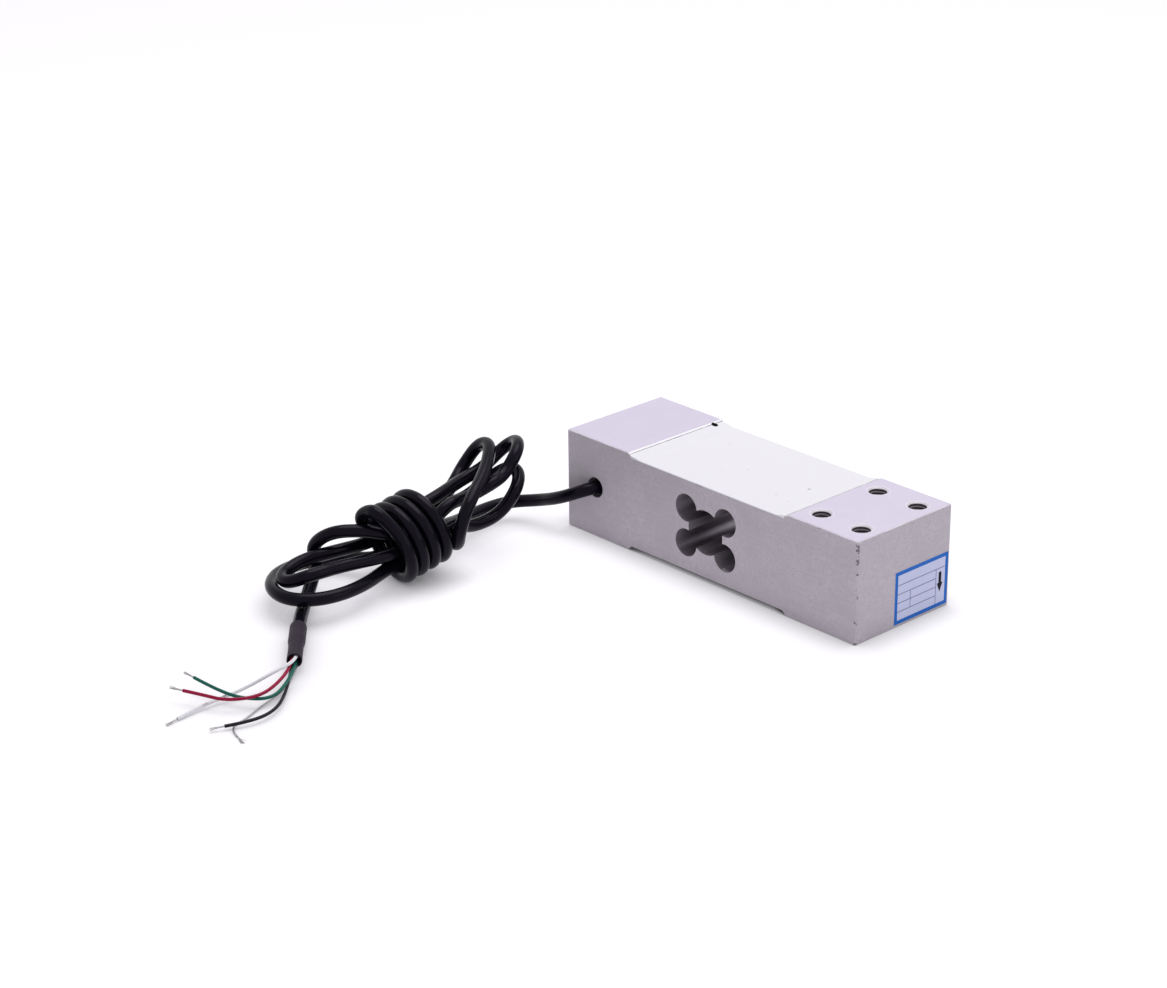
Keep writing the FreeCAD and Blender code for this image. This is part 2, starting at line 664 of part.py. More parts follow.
WHITE_WIRE = [
    (-50.0, -176.1, 5.9),
    (-42.0, -182.5, 6.8),
    (-39.5, -194.0, 7.2),
    (-42.5, -206.0, 3.0),
    (-45.5, -219.0, 1.4),
    (-44.0, -232.0, 0.8),
]
BLACK_WIRE = [
    (-51.2, -177.5, 4.3),
    (-43.0, -184.5, 3.5),
    (-32.5, -195.0, 2.0),
    (-24.5, -205.0, 2.0),
    (-23.0, -215.5, 2.0),
    (-27.5, -224.5, 1.5),
]
DRAIN_WIRE = [
    (-49.8, -175.8, 4.2),
    (-42.5, -181.8, 3.6),
    (-36.0, -192.5, 0.8),
    (-32.5, -205.0, 0.6),
    (-27.0, -218.5, 0.5),
    (-17.0, -226.0, 0.4),
]
# The hank's outer shape: y of each oval section, its centre in x and z, its half width
# and height. Each oval is drawn as a polygon.
HANK_SIDES = 16
HANK_SECTIONS = [
    (-162.5, -84.0, 10.5, 5.0, 2.6),
    (-156.0, -87.0, 11.0, 16.0, 4.0),
    (-136.0, -88.5, 12.5, 20.0, 8.0),
    (-114.0, -82.0, 15.8, 15.7, 15.7),
    (-86.0, -82.0, 15.8, 15.7, 15.7),
    (-62.0, -88.0, 18.5, 16.0, 17.0),
    (-38.0, -94.5, 19.0, 11.5, 15.0),
    (-28.0, -97.0, 22.0, 5.0, 8.0),
]


def make_grommet():
    """A rubber ring that seals the cable in its bore."""
    rods = []
    for name, radius in (
        ("GrommetOutside", "cable_hole / 2 - grommet_fit"),
        ("GrommetInside", "cable / 2 + grommet_fit"),
    ):
        rod = doc.addObject("Part::Cylinder", name)
        rod.Placement.Rotation = FreeCAD.Rotation(Vector(1, 0, 0), -90)
        bind(
            rod,
            Radius=radius,
            Height="grommet_length",
            Placement__Base__x=CABLE_X,
            Placement__Base__y="grommet_recess - block_width / 2",
            Placement__Base__z="cable_height",
        )
        rods.append(rod)
    ring = doc.addObject("Part::Cut", "GrommetRing")
    ring.Base, ring.Tool = rods
    keep(ring, "cable_grommet")


def lead_route():
    """The cable from its anchor straight out of the bore, then as it lies."""
    x, side, z = number(CABLE_X), -size("block_width") / 2, size("cable_height")
    straight = [(x, side + size("cable_anchor"), z), (x, side + size("cable_straight"), z)]
    return straight + CABLE_LEAD


def make_hank():
    """The tied hank as one closed form, bored where the cable enters and leaves it."""
    turns = [2 * math.pi * (i + 0.5) / HANK_SIDES for i in range(HANK_SIDES)]
    rings = []
    for y, x, z, wide, high in HANK_SECTIONS:
        corners = [Vector(x + wide * math.cos(t), y, z + high * math.sin(t)) for t in turns]
        rings.append(Part.makePolygon(corners + corners[:1]))
    hank = Part.makeLoft(rings, True, True)
    for route in (lead_route(), CABLE_TAIL):
        hank = hank.cut(tube(route, size("cable") + 2 * size("grommet_fit")))
    feature("cable_hank", hank)


def make_cable():
    feature("cable_lead", tube(lead_route(), size("cable"), name="cable_lead"))
    make_hank()
    feature("cable_tail", tube(CABLE_TAIL, size("cable"), name="cable_tail"))

    end, before = Vector(*CABLE_TAIL[-1]), Vector(*CABLE_TAIL[-2])
    along = unit(end - before)
    start = end - along * size("jacket_in_sleeve")
    turn = FreeCAD.Rotation(Vector(0, 0, 1), along)
    rods = []
    for name, radius in (
        ("SleeveOutside", "sleeve_bore / 2 + sleeve_wall"),
        ("SleeveInside", "sleeve_bore / 2"),
    ):
        rod = doc.addObject("Part::Cylinder", name)
        rod.Placement = FreeCAD.Placement(start, turn)
        bind(rod, Radius=radius, Height="sleeve_length")
        rods.append(rod)
    sleeve = doc.addObject("Part::Cut", "Sleeve")
    sleeve.Base, sleeve.Tool = rods
    keep(sleeve, "heat_shrink_sleeve")
    roots = size("sleeve_length") - size("jacket_in_sleeve") - size("wires_in_sleeve")
    core = Part.makeCylinder(size("stripped_core") / 2, roots - size("root_gap"), end, along)
    feature("stripped_core", core)


def make_wires():
    for name, route in (
        ("red", RED_WIRE),
        ("green", GREEN_WIRE),
        ("white", WHITE_WIRE),
        ("black", BLACK_WIRE),
    ):
        feature(f"{name}_wire", tube(route, size("wire"), name=f"{name}_wire"))
        end, before = Vector(*route[-1]), Vector(*route[-2])
        strands = Part.makeCylinder(size("conductor") / 2, size("bared"), end, end - before)
        feature(f"{name}_conductor", strands)
    feature("drain_wire", tube(DRAIN_WIRE, size("drain"), name="drain_wire"))


def make_label():
    x = "(block_length / 2 + label_thickness / 2)"
    y = "(block_width / 2 - label_side - label_width / 2)"
    plate = box("rating_label", "label_thickness", "label_width", "label_height", x, y, "label_foot")
    keep(plate, "rating_label")


make_block()
make_sealant("top_sealant", True)
make_sealant("bottom_sealant", False)
make_gauges("top", True)
make_gauges("bottom", False)
make_boards()
make_inner_wires()
make_grommet()
make_cable()
make_wires()
make_label()
doc.recompute()

# -------------------------------------------------------------------- export
for thing in doc.Objects:
    if "Invalid" in thing.State or "Error" in thing.State:
        raise RuntimeError(f"{thing.Name} didn't compute: {thing.State}")
for part in PARTS:
    if part.Shape.isNull() or not part.Shape.isValid() or not part.Shape.Solids:
        raise RuntimeError(f"{part.Label} has no valid solid")
os.makedirs("parts", exist_ok=True)
for part in PARTS:
    part.Shape.exportStep(f"parts/{part.Label}.step")
print(f"{len(PARTS)} sub-parts written")
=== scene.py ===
import math

import bmesh
import bpy
from bpy.props import FloatProperty, FloatVectorProperty, PointerProperty
from mathutils import Matrix, Vector


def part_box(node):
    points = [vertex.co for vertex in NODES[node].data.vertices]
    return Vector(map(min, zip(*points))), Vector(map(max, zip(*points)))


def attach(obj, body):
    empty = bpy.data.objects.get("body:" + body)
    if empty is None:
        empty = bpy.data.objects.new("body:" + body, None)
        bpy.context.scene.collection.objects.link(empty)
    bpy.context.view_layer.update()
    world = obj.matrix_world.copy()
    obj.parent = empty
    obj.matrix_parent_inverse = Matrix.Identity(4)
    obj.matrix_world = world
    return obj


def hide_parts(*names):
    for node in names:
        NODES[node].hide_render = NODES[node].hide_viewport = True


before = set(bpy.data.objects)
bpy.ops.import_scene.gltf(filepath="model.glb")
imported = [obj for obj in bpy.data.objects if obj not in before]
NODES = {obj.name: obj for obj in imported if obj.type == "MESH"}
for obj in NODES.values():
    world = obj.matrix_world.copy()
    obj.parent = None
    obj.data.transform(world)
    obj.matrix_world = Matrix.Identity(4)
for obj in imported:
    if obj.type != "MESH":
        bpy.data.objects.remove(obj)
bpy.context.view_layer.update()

bl_info = {
    "name": "Single Point Load Cell Looks",
    "version": (1, 0, 0),
    "blender": (4, 5, 0),
    "location": "3D View > Sidebar > Load Cell",
    "description": "Materials, printed label, potting, cable, wires and studio of a load cell",
    "category": "Object",
}

MM = 0.001
AXES = {"x": Vector((1, 0, 0)), "y": Vector((0, 1, 0)), "z": Vector((0, 0, 1))}
DARK_MARKS = (0.05, 0.045, 0.05)
DEEP_SHADE = (0.02, 0.016, 0.02)

# The block in millimetres, from its middle and its bottom face.
HALF_LENGTH, HALF_WIDTH, HALF_HEIGHT = 75, 25, 20
HOLES_X, HOLES_HALF_PITCH_X, HOLES_HALF_PITCH_Y = 58, 9.5, 15
THREAD_PITCH, THREAD_EDGE = 1.25, 3.6
LIP_INSIDE, LIP_OUTSIDE = 3.45, 4.3
CUTOUT_REACH, CUTOUT_HALF_HEIGHT, LOBE_FOOT = 30, 16.3, 7.5
RECESS_HALF, RECESS_DEPTH = 41.5, 1.95
WELL_X, WELL_Y = -39.9, 20
WELL_RADIUS, VENT_RADIUS = 1.4, 1.22

# ------------------------------------------------------------------ cable routes
# Millimetres, in the order in which the cable runs, from the block to the sleeve.
FREE_LEAD = [
    (-59.5, -18, 20.3), (-59.5, -24.4, 20.3), (-62.8, -30.2, 19), (-71.5, -33.2, 14.6),
    (-84, -32, 9.6), (-95.5, -37, 7),
]
PASS_1 = [
    (-97, -48, 7), (-93, -64.4, 8.4), (-83.6, -83.6, 13.8), (-83.6, -98.2, 11),
    (-86.4, -112.2, 8.4),
]
LOOP_1 = [
    (-103.6, -116.8, 5.8), (-107, -131.6, 6.4), (-102.6, -146.6, 8), (-91.2, -157.4, 9.4),
    (-78.2, -158.8, 9.6), (-69.6, -149, 9.6), (-69.6, -132.4, 9),
]
PASS_2 = [
    (-77.8, -112, 8.2), (-73, -99.4, 13.8), (-70, -86.4, 20.8),
]
LOOP_2 = [
    (-72, -77.4, 15.4), (-72.2, -63, 16.2), (-69.4, -56.4, 25.4), (-76.8, -48.2, 28.6),
    (-82.2, -50, 29.6), (-84.4, -60.4, 24.8), (-83.2, -71.8, 21.6),
]
PASS_3 = [
    (-86.6, -84, 20.8), (-87.8, -97.6, 16.8), (-88.6, -112.6, 14.8),
]
LOOP_3 = [
    (-88.4, -131, 16.6), (-94.6, -140, 14.2), (-92.6, -151.4, 12.4), (-84.8, -154.4, 12.6),
    (-77.4, -148.2, 16.6), (-78.2, -132.4, 15.2),
]
PASS_4 = [
    (-74, -112, 14.6), (-73.6, -97.8, 20.2), (-71, -88.8, 29),
]
LOOP_4 = [
    (-74.6, -76.8, 26.6), (-69.4, -69.2, 31.4), (-72.8, -59.4, 31.6), (-72.8, -52.4, 39.4),
    (-81.6, -44.8, 39.6), (-88.2, -46.6, 34.6), (-87.8, -57, 29.2), (-88, -68.4, 27.2),
]
PASS_5 = [
    (-82.2, -85.6, 27), (-83.8, -98, 23.8), (-86.6, -107, 20.8),
]
EYE = [
    (-88.6, -112.6, 20.2), (-85.8, -116.4, 22.8), (-86.4, -118.4, 27.8), (-82.2, -117.6, 31.2),
    (-77, -117.8, 32.2),
]
LOOP_5 = [
    (-96.8, -75.4, 19.4), (-95.4, -69.2, 19.8), (-93, -67.6, 24.4), (-96.8, -59.6, 28.2),
    (-91.8, -55.4, 38), (-83.4, -56.6, 40.2), (-72.2, -69.2, 36), (-62.4, -86, 31),
    (-62, -91.2, 21.2), (-67.6, -87.5, 12),
]
PASS_6 = [
    (-74.6, -86.8, 14), (-82, -96.8, 15.4), (-77.4, -111, 21.2),
]
LOOP_6 = [
    (-82, -120.8, 24.4), (-88.2, -130.8, 24.8), (-96.8, -133.4, 17.6), (-95.2, -132.4, 10.8),
]
FREE_TAIL = [
    (-90.5, -138.5, 7), (-82.5, -148, 4.2), (-69.9, -160.6, 4), (-56.6, -171.8, 4.7),
]
# The turns round the hank: a helix on a tilted axis.
WRAP_CENTRE = (-80.7, -111.0, 15.15)
WRAP_ALONG = (0.061, 0.974, 0.219)
WRAP_RADIUS = 13.35
WRAP_PITCH = 5.4
WRAP_STEPS = 12
WRAP_POINTS = 44
WRAP_ANGLE = 75.0

RED_WIRE = [
    (-51.2, -177.5, 5.8), (-43, -184, 5.6), (-36, -194.5, 4.9), (-31.5, -206.5, 4.8),
    (-37.5, -216.5, 4.6), (-46, -219.5, 4.6), (-53, -223, 5),
]
GREEN_WIRE = [
    (-50.4, -176.5, 4.4), (-43, -182.5, 4.6), (-35, -192.5, 3.8), (-29.5, -203, 3.4),
    (-37, -210.5, 3.4), (-48, -213.5, 4.2), (-58.5, -214.5, 5),
]
WHITE_WIRE = [
    (-50, -176.1, 5.9), (-42, -182.5, 6.8), (-39.5, -194, 7.2), (-42.5, -206, 3),
    (-45.5, -219, 1.4), (-44, -232, 0.8),
]
BLACK_WIRE = [
    (-51.2, -177.5, 4.3), (-43, -184.5, 3.5), (-32.5, -195, 2), (-24.5, -205, 2),
    (-23, -215.5, 2), (-27.5, -224.5, 1.5),
]
DRAIN_WIRE = [
    (-49.8, -175.8, 4.2), (-42.5, -181.8, 3.6), (-36, -192.5, 0.8), (-32.5, -205, 0.6),
    (-28.3, -215.5, 0.5), (-27, -223, 0.5), (-20.3, -224.6, 0.4),
]

SLEEVE_RADIUS, SLEEVE_LENGTH, SLEEVE_OVERLAP, SLEEVE_WALL = 3.1, 28.8, 13, 0.5
# Along the sleeve from its middle: where it is cut across, and how far it has shrunk there.
SLEEVE_CUTS = [-14.1, -13.2, -9, -4, -1.8, -0.4, 1.2, 3, 8, 12.5, 13.8]
SLEEVE_SHRINK = [
    (-14.4, 0.97), (-0.4, 0.965), (1.2, 0.90), (3, 0.875), (8, 0.87), (12.5, 0.885), (13.8, 0.90),
    (14.4, 0.895),
]
STRAND_COUNT, STRAND_LENGTH, STRAND_ROOT = 6, 5.5, 0.5
STRAND_CUTS = [1.5, 3, 4.2]
STRAND_LOWEST = 0.08


def wraps():
    """Points of the turns round the hank; they stand out so that the curve keeps its radius."""
    reach = WRAP_RADIUS / math.cos(math.pi / WRAP_STEPS)
    along = Vector(WRAP_ALONG).normalized()
    side = along.cross(AXES["z"]).normalized()
    rise = side.cross(along)
    for i in range(1, WRAP_POINTS + 1):
        turn = math.radians(WRAP_ANGLE - i * 360 / WRAP_STEPS)
        middle = Vector(WRAP_CENTRE) + along * WRAP_PITCH * i / WRAP_STEPS
        yield tuple(middle + (side * math.cos(turn) + rise * math.sin(turn)) * reach)


def cable_route():
    """Control points of the whole signal cable."""
    before = FREE_LEAD + PASS_1 + LOOP_1 + PASS_2 + LOOP_2 + PASS_3 + LOOP_3 + PASS_4
    before += LOOP_4 + PASS_5 + EYE
    return before + list(wraps()) + LOOP_5 + PASS_6 + LOOP_6 + FREE_TAIL


# -------------------------------------------------------------------- properties
def colour(name, description, value):
    return FloatVectorProperty(
        name=name, description=description, default=value, size=3, min=0, max=1, subtype="COLOR"
    )


def length(name, description, value):
    return FloatProperty(
        name=name, description=description, default=value, min=0, unit="LENGTH", subtype="DISTANCE"
    )


class LoadCellSizes(bpy.types.PropertyGroup):
    cable: length("Cable", "Diameter of the signal cable", 0.005)
    wire: length("Wire", "Diameter of a coloured wire", 0.0012)
    drain: length("Drain", "Diameter of the bare drain wire", 0.0006)
    border: length("Label Border", "Width of the label's coloured border", 0.0015)


class LoadCellColours(bpy.types.PropertyGroup):
    metal: colour("Metal", "Blasted aluminium", (0.52, 0.478, 0.532))
    # Painted highlight colour for the block's edges, hole lips, recess steps and one lobe of its
    # cut-out; along the edges it is patchy like wear.
    edge: colour("Edge", "Bright broken edges", (0.95, 0.94, 0.98))
    silicone: colour("Silicone", "White potting", (0.79, 0.785, 0.82))
    jacket: colour("Jacket", "Cable jacket", (0.0035, 0.003, 0.006))
    sleeve: colour("Sleeve", "Heat-shrink sleeve", (0.029, 0.022, 0.032))
    red: colour("Red Wire", "Insulation", (0.32, 0.004, 0.042))
    green: colour("Green Wire", "Insulation", (0.003, 0.115, 0.08))
    white: colour("White Wire", "Insulation", (0.78, 0.78, 0.82))
    black: colour("Black Wire", "Insulation", (0.004, 0.0035, 0.006))
    copper: colour("Tinned Copper", "Bare strands", (0.40, 0.385, 0.40))
    print_blue: colour("Label Print", "Border of the label", (0.002, 0.13, 0.54))
    film: colour("Label Film", "Ground of the label", (0.56, 0.60, 0.82))


def sizes():
    return bpy.context.scene.load_cell_sizes


def colours():
    return bpy.context.scene.load_cell_colours


# --------------------------------------------------------------------- materials
class Shader:
    """A material on a Principled BSDF, with short words for the nodes used here."""

    def __init__(self, name, base, roughness, metallic=0.0, **inputs):
        self.material = bpy.data.materials.new(name)
        self.material.use_nodes = True
        self.tree = self.material.node_tree
        self.bsdf = self.tree.nodes["Principled BSDF"]
        self.bsdf.inputs["Base Color"].default_value = (*base, 1)
        self.bsdf.inputs["Roughness"].default_value = roughness
        self.bsdf.inputs["Metallic"].default_value = metallic
        for key, value in inputs.items():
            self.bsdf.inputs[key.replace("_", " ")].default_value = value
        self.place = self.node("ShaderNodeTexCoord").outputs["Object"]

    def node(self, kind, **values):
        made = self.tree.nodes.new(kind)
        for key, value in values.items():
            setattr(made, key, value)
        return made

    def link(self, source, target):
        self.tree.links.new(source, target)

    def math(self, operation, a, b=0.0):
        made = self.node("ShaderNodeMath", operation=operation)
        for socket, value in zip(made.inputs, (a, b)):
            if isinstance(value, (int, float)):
                socket.default_value = value
            else:
                self.link(value, socket)
        return made.outputs[0]

    def stretched(self, scale):
        made = self.node("ShaderNodeVectorMath", operation="MULTIPLY")
        self.link(self.place, made.inputs[0])
        made.inputs[1].default_value = scale
        return made.outputs[0]

    def noise(self, scale, detail=2.0, place=None, roughness=0.5):
        made = self.node("ShaderNodeTexNoise")
        self.link(place or self.place, made.inputs["Vector"])
        made.inputs["Scale"].default_value = scale
        made.inputs["Detail"].default_value = detail
        made.inputs["Roughness"].default_value = roughness
        return made.outputs["Fac"]

    def ramp(self, value, low, high, low_value=0.0, high_value=1.0):
        made = self.node("ShaderNodeMapRange")
        self.link(value, made.inputs["Value"])
        ends = {"From Min": low, "From Max": high, "To Min": low_value, "To Max": high_value}
        for key, number in ends.items():
            made.inputs[key].default_value = number
        return made.outputs["Result"]

    def mix(self, factor, first, second):
        made = self.node("ShaderNodeMix", data_type="RGBA")
        self.link(factor, made.inputs["Factor"])
        for socket, value in ((made.inputs["A"], first), (made.inputs["B"], second)):
            if isinstance(value, tuple):
                socket.default_value = (*value[:3], 1)
            else:
                self.link(value, socket)
        return made.outputs["Result"]

    def bump(self, height, strength, distance):
        made = self.node("ShaderNodeBump")
        made.inputs["Strength"].default_value = strength
        made.inputs["Distance"].default_value = distance
        self.link(height, made.inputs["Height"])
        if self.bsdf.inputs["Normal"].is_linked:
            self.link(self.bsdf.inputs["Normal"].links[0].from_socket, made.inputs["Normal"])
        self.link(made.outputs["Normal"], self.bsdf.inputs["Normal"])

    def xyz(self):
        made = self.node("ShaderNodeSeparateXYZ")
        self.link(self.place, made.inputs[0])
        return made.outputs

    def magnitude(self, value):
        return self.math("ABSOLUTE", value)

    def above(self, value, limit):
        return self.math("GREATER_THAN", value, limit)

    def below(self, value, limit):
        return self.math("LESS_THAN", value, limit)

    def both(self, a, b):
        return self.math("MULTIPLY", a, b)

    def either(self, a, b):
        return self.math("MAXIMUM", a, b)

    def between(self, value, low, high):
        return self.both(self.above(value, low), self.below(value, high))

    def apart(self, a, b):
        """Length of the diagonal of two distances."""
        squares = [self.math("MULTIPLY", value, value) for value in (a, b)]
        return self.math("SQRT", self.math("ADD", *squares))

    def hole_distance(self, wide, deep):
        """Distance from the nearest mounting hole's axis, from the two magnitudes."""
        along = self.magnitude(self.math("SUBTRACT", wide, HOLES_X * MM))
        a = self.math("SUBTRACT", along, HOLES_HALF_PITCH_X * MM)
        b = self.math("SUBTRACT", deep, HOLES_HALF_PITCH_Y * MM)
        return self.apart(a, b)

    def well(self, x, y, radius):
        """1 inside the upright bore that joins the two gauge pockets."""
        a, b = self.math("SUBTRACT", x, WELL_X * MM), self.math("SUBTRACT", y, WELL_Y * MM)
        return self.below(self.apart(a, b), radius * MM)

    def set(self, socket, value):
        self.link(value, self.bsdf.inputs[socket])


def shade(value, factor):
    return tuple(min(1.0, channel * factor) for channel in value)


def aluminium_grain(m, base):
    """Fine grain, mid-size mottle, clouds and faint drawn lines in the bare metal."""
    grain = m.noise(5200, 3, roughness=0.7)
    mottle = m.noise(1300, 4, roughness=0.8)
    clouds = m.noise(70, 6, roughness=0.72)
    drawn = m.noise(1, 3, m.stretched((90, 260, 900)))
    tone = m.mix(m.ramp(grain, 0.3, 0.7), shade(base, 0.84), shade(base, 1.12))
    tone = m.mix(m.ramp(mottle, 0.44, 0.62, 0, 0.8), tone, shade(base, 0.74))
    tone = m.mix(m.ramp(clouds, 0.38, 0.66, 0.0, 0.8), tone, shade(base, 0.82))
    tone = m.mix(m.ramp(drawn, 0.45, 0.75, 0.0, 0.15), tone, shade(base, 1.15))
    return grain, tone


def metal_material():
    """Blasted aluminium: grain, clouds, painted highlights on the broken edges, painted shade in
    the bores and threads, and a few nicks.
    """
    base, edge = tuple(colours().metal), tuple(colours().edge)
    m = Shader("blasted_aluminium", base, 0.5, 0.3, Specular_Tint=(0.95, 0.92, 1.0, 1))
    grain, tone = aluminium_grain(m, base)
    x, y, z = m.xyz()
    wide, deep = m.magnitude(x), m.magnitude(y)
    centred = m.math("SUBTRACT", z, HALF_HEIGHT * MM)
    high = m.magnitude(centred)

    # The top lands are smoother and paler, and the long edges get a painted highlight, broken up in
    # patches like wear.
    lands = m.both(m.above(high, (HALF_HEIGHT - 0.1) * MM), m.above(centred, 0))
    tone = m.mix(m.ramp(lands, 0, 1, 0.0, 0.55), tone, (0.70, 0.66, 0.82))
    rim_width = 0.28
    ends = m.either(
        m.above(wide, (HALF_LENGTH - rim_width) * MM), m.above(deep, (HALF_WIDTH - rim_width) * MM)
    )
    rim = m.both(ends, m.above(high, (HALF_HEIGHT - rim_width) * MM))
    wear_and_sheen = m.ramp(m.noise(140, 3), 0.35, 0.6, 0.1, 0.6)
    tone = m.mix(m.both(rim, wear_and_sheen), tone, edge)

    # The cut-out: painted shade inside, fading out towards its mouths, with a painted glint low on
    # one lobe.
    inside = m.both(m.below(deep, (HALF_WIDTH - 0.15) * MM), m.below(high, CUTOUT_HALF_HEIGHT * MM))
    bore = m.both(inside, m.below(wide, CUTOUT_REACH * MM))
    mouth = m.ramp(deep, 14 * MM, (HALF_WIDTH - 0.2) * MM)
    tone = m.mix(bore, tone, m.mix(mouth, shade(base, 0.5), base))
    lobe_glint = m.both(bore, m.below(z, (LOBE_FOOT + 0.35) * MM))
    lobe_glint = m.both(lobe_glint, m.both(m.above(x, 8.2 * MM), m.above(deep, (HALF_WIDTH - 1.8) * MM)))
    tone = m.mix(lobe_glint, tone, edge)

    # The tapped holes: painted shade on their threaded walls, and a painted highlight on the lip
    # where they are open.
    hole = m.hole_distance(wide, deep)
    open_end = m.above(m.both(x, centred), 0)
    thread = m.both(m.below(hole, THREAD_EDGE * MM), m.below(high, (HALF_HEIGHT - 0.8) * MM))
    tone = m.mix(thread, tone, shade(base, 0.45))
    lip = m.both(m.between(hole, LIP_INSIDE * MM, LIP_OUTSIDE * MM), open_end)
    tone = m.mix(m.math("MULTIPLY", lip, 0.5), tone, edge)

    # The recess's sloped steps, with a painted highlight above the silicone.
    slope = m.between(high, (HALF_HEIGHT - RECESS_DEPTH) * MM, (HALF_HEIGHT - 0.08) * MM)
    slope = m.both(slope, m.between(wide, (RECESS_HALF - 1.5) * MM, (RECESS_HALF + 1.9) * MM))
    slope = m.both(slope, m.below(deep, (HALF_WIDTH - 0.3) * MM))
    tone = m.mix(m.math("MULTIPLY", slope, 0.9), tone, edge)

    # Nicks down the loaded end's near corner, most at its top, and the corner's lowest 0.9 mm
    # darkened; scuffs along the edges.
    corner = m.both(m.above(x, (HALF_LENGTH - 0.9) * MM), m.below(y, (0.9 - HALF_WIDTH) * MM))
    spared = m.ramp(z, 30 * MM, 38 * MM, 0.62, 0.46)
    worn_spots = m.above(m.noise(420, 2, m.stretched((1, 1, 1.6))), spared)
    corner_marks = m.both(corner, m.either(worn_spots, m.below(z, 0.9 * MM)))
    scuff = m.between(high, (HALF_HEIGHT - 2.4) * MM, (HALF_HEIGHT - 0.01) * MM)
    scuff = m.both(scuff, m.above(deep, (HALF_WIDTH - 0.2) * MM))
    scuff = m.both(scuff, m.above(m.noise(330, 4, roughness=0.7), 0.64))
    darkened = m.math("MULTIPLY", m.either(corner_marks, m.math("MULTIPLY", scuff, 0.5)), 0.75)
    tone = m.mix(darkened, tone, DARK_MARKS)
    m.set("Base Color", m.mix(m.well(x, y, WELL_RADIUS), tone, DEEP_SHADE))

    m.set("Roughness", m.ramp(bore, 0, 1, 0.5, 0.28))
    polish = m.math("MULTIPLY", bore, m.ramp(mouth, 0, 1, 1.0, 0.55))
    m.set("Metallic", m.ramp(polish, 0, 1, 0.3, 0.85))
    turns = m.math("SINE", m.math("MULTIPLY", z, 2 * math.pi / (THREAD_PITCH * MM)))
    m.bump(m.math("MULTIPLY", turns, thread), 0.9, 0.0003)
    m.bump(grain, 0.3, 0.00005)
    return m.material


def silicone_material():
    """Slightly lumpy white silicone with a few dark specks, dirt and painted shade along its seams,
    and painted shade at its vent and along the lower one's sides.
    """
    base = tuple(colours().silicone)
    m = Shader("white_silicone", base, 0.35, Specular_IOR_Level=0.5)
    x, y, z = m.xyz()
    tone = m.mix(m.ramp(m.noise(420, 1), 0.765, 0.78), base, shade(base, 0.35))
    # Along the seams where the silicone meets the steps: dirt and painted shade, strongest at the
    # fixed end.
    seam = m.math("MULTIPLY", m.above(x, (RECESS_HALF - 2) * MM), 0.55)
    seam = m.either(seam, m.below(x, (1.05 - RECESS_HALF) * MM))
    seam = m.both(seam, m.ramp(m.noise(260, 3), 0.3, 0.6, 0.45, 0.95))
    tone = m.mix(seam, tone, (0.10, 0.085, 0.10))
    tone = m.mix(m.well(x, y, VENT_RADIUS), tone, DEEP_SHADE)
    # Painted shade along the sides of the lower silicone, in the gap under the block.
    lower = m.below(z, HALF_HEIGHT * MM)
    shade_under_block = m.both(lower, m.above(m.magnitude(y), (HALF_WIDTH - 1) * MM))
    m.set("Base Color", m.mix(shade_under_block, tone, (0.05, 0.042, 0.04)))
    m.bump(m.noise(120, 3), 0.35, 0.0004)
    return m.material


def plastic_material(name, base, roughness=0.35, grain=2500, height=0.00002, gloss=0.5):
    """Smooth plastic or rubber with a fine grain of that scale and height."""
    tint = (0.88, 0.76, 1.0, 1)
    m = Shader(name, base, roughness, Specular_IOR_Level=gloss, Specular_Tint=tint)
    m.set("Roughness", m.ramp(m.noise(300, 3), 0.3, 0.7, roughness - 0.05, roughness + 0.08))
    m.bump(m.noise(grain, 2), 0.3, height)
    return m.material


def strand_material():
    """Tinned copper strands, slightly rough."""
    m = Shader("tinned_copper", tuple(colours().copper), 0.32, 0.9)
    m.bump(m.noise(4000, 2), 0.5, 0.00005)
    return m.material


def plain_metal(name, base):
    m = Shader(name, base, 0.35, 0.9)
    m.bump(m.noise(3000, 2), 0.2, 0.00002)
    return m.material


def dress_node(name, material):
    """Gives a CAD node its material."""
    mesh = NODES[name].data
    mesh.materials.clear()
    mesh.materials.append(material)


# ---------------------------------------------------------------------- modelling
def collection():
    return bpy.context.scene.collection


def alone(thing):
    """The only selected object, and the active one."""
    bpy.ops.object.select_all(action="DESELECT")
    thing.select_set(True)
    bpy.context.view_layer.objects.active = thing
    return thing


def named(name):
    """The primitive just added, under its own name."""
    thing = bpy.context.object
    thing.name = name
    thing.data.name = name
    return alone(thing)


def bake_place(thing):
    alone(thing)
    bpy.ops.object.transform_apply(location=True, rotation=True, scale=True)


def aim(thing, place, along):
    """Moves the piece there and turns its Z axis that way, for good."""
    turn = along.to_track_quat("Z", "Y").to_matrix().to_4x4()
    thing.matrix_world = Matrix.Translation(place) @ turn
    bake_place(thing)


def end_of(route):
    """Where a route ends, in metres, and which way it runs there."""
    end, before = Vector(route[-1]) * MM, Vector(route[-2]) * MM
    return end, (end - before).normalized()


def apply_modifier(thing, kind, **values):
    alone(thing)
    modifier = thing.modifiers.new(kind.title(), kind)
    for key, value in values.items():
        setattr(modifier, key, value)
    bpy.ops.object.modifier_apply(modifier=modifier.name)


def pick_verts(thing, test):
    """Selects the verts for which the test holds; edit mode is on."""
    mesh = bmesh.from_edit_mesh(thing.data)
    bpy.context.tool_settings.mesh_select_mode = (True, False, False)
    for kind in (mesh.verts, mesh.edges, mesh.faces):
        for item in kind:
            item.select = False
    for vert in mesh.verts:
        vert.select = test(vert)
    mesh.select_flush_mode()
    bmesh.update_edit_mesh(thing.data)


